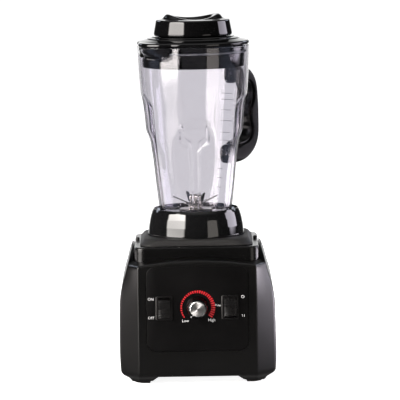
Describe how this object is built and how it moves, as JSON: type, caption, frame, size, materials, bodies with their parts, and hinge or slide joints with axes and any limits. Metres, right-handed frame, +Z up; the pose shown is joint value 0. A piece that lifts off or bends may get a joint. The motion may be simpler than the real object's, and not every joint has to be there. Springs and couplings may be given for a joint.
{
  "type": "countertop blender",
  "caption": "Countertop blender: square motor base with speed dial and rocker switches, clear jar with blade unit and handle, and a lid with a lift-out filler cap.",
  "frame": {"origin": "on the blade and motor axis, at the bottom of the rubber feet", "axes": "+Z up along the spin axis, -Y out of the control panel, +X to the right as seen from the front"},
  "size_m": [0.215, 0.254, 0.5046],
  "materials": {
    "satin_black": "satin",
    "gloss_black": "polished",
    "panel_black": "fine texture",
    "handle_grey": "satin",
    "black_rubber": "matte",
    "clear_polycarbonate": "clear",
    "aluminium": "spun",
    "steel": "brushed",
    "copper": "enamelled copper wire",
    "lamination_steel": "plain",
    "silicone": "matte",
    "circuit_board": "plain",
    "white_nylon": "plain",
    "carbon": "matte"
  },
  "bodies": {
    "base": {"housing_shell": "satin_black", "top_plate": "satin_black", "bottom_cover": "satin_black", "jar_seat_pad": "black_rubber", "side_plug_left": "black_rubber", "side_plug_right": "black_rubber", "foot_front_left": "black_rubber", "foot_front_right": "black_rubber", "foot_rear_left": "black_rubber", "foot_rear_right": "black_rubber", "control_panel": "panel_black", "power_switch_body": "satin_black", "pulse_switch_body": "satin_black", "speed_potentiometer": "satin_black", "cord_gland": "satin_black", "breaker_body": "satin_black", "motor_stator": "lamination_steel", "field_winding": "copper", "motor_top_bracket": "aluminium", "motor_lower_bracket": "aluminium", "motor_bearing_upper": "steel", "motor_bearing_lower": "steel", "motor_post_left": "steel", "motor_post_right": "steel", "carbon_brush_left": "carbon", "carbon_brush_right": "carbon", "control_board": "circuit_board", "triac_heat_sink": "aluminium"},
    "rotor": {"motor_shaft": "steel", "drive_spline": "steel", "rotor_core": "copper", "commutator": "copper", "cooling_fan": "white_nylon"},
    "speed_dial": {"speed_knob": "satin_black", "knob_inlay": "aluminium", "speed_shaft": "steel"},
    "power_key": {"power_rocker": "gloss_black"},
    "pulse_key": {"pulse_rocker": "gloss_black"},
    "reset_key": {"reset_button": "white_nylon"},
    "jar": {"jar_body": "clear_polycarbonate", "handle_shell": "handle_grey", "handle_grip": "gloss_black", "handle_screw_upper": "steel", "handle_screw_lower": "steel", "jar_collar": "gloss_black", "blade_hub": "steel", "hub_seal": "silicone", "hub_nut": "steel", "blade_bearing_upper": "steel", "blade_bearing_lower": "steel"},
    "blades": {"blade_shaft": "steel", "blade_wide": "steel", "blade_steep": "steel", "blade_low": "steel", "blade_nut": "steel", "drive_socket": "steel"},
    "lid": {"lid_body": "gloss_black", "lid_gasket": "silicone"},
    "cap": {"filler_cap": "gloss_black"}
  },
  "joints": [
    {"name": "motor_spin", "type": "hinge", "parent": "base", "child": "rotor", "pos_m": [0, 0, 0.1], "axis": [0, 0, 1], "continuous": true},
    {"name": "jar_lift", "type": "slide", "parent": "base", "child": "jar", "axis": [0, 0, 1], "range_m": [0, 0.1]},
    {"name": "blade_spin", "type": "hinge", "parent": "jar", "child": "blades", "pos_m": [0, 0, 0.23], "axis": [0, 0, 1], "continuous": true},
    {"name": "lid_lift", "type": "slide", "parent": "jar", "child": "lid", "axis": [0, 0, 1], "range_m": [0, 0.08]},
    {"name": "cap_lift", "type": "slide", "parent": "lid", "child": "cap", "axis": [0, 0, 1], "range_m": [0, 0.06]},
    {"name": "speed_turn", "type": "hinge", "parent": "base", "child": "speed_dial", "pos_m": [0, -0.115, 0.107], "axis": [0, 1, 0], "range_deg": [0, 265]},
    {"name": "power_rock", "type": "hinge", "parent": "base", "child": "power_key", "pos_m": [-0.045, -0.1035, 0.1065], "axis": [-1, 0, 0], "range_deg": [0, 14]},
    {"name": "pulse_rock", "type": "hinge", "parent": "base", "child": "pulse_key", "pos_m": [0.045, -0.1035, 0.1065], "axis": [1, 0, 0], "range_deg": [0, 14], "stiffness_Nm_per_rad": 0.06, "springref_deg": -17.19},
    {"name": "reset_press", "type": "slide", "parent": "base", "child": "reset_key", "axis": [0, -1, 0], "range_m": [0, 0.004], "stiffness_N_per_m": 350, "springref_m": -0.003}
  ],
  "couplings": [
    {"joint": "blade_spin", "follows": "motor_spin", "ratio": 1}
  ]
}
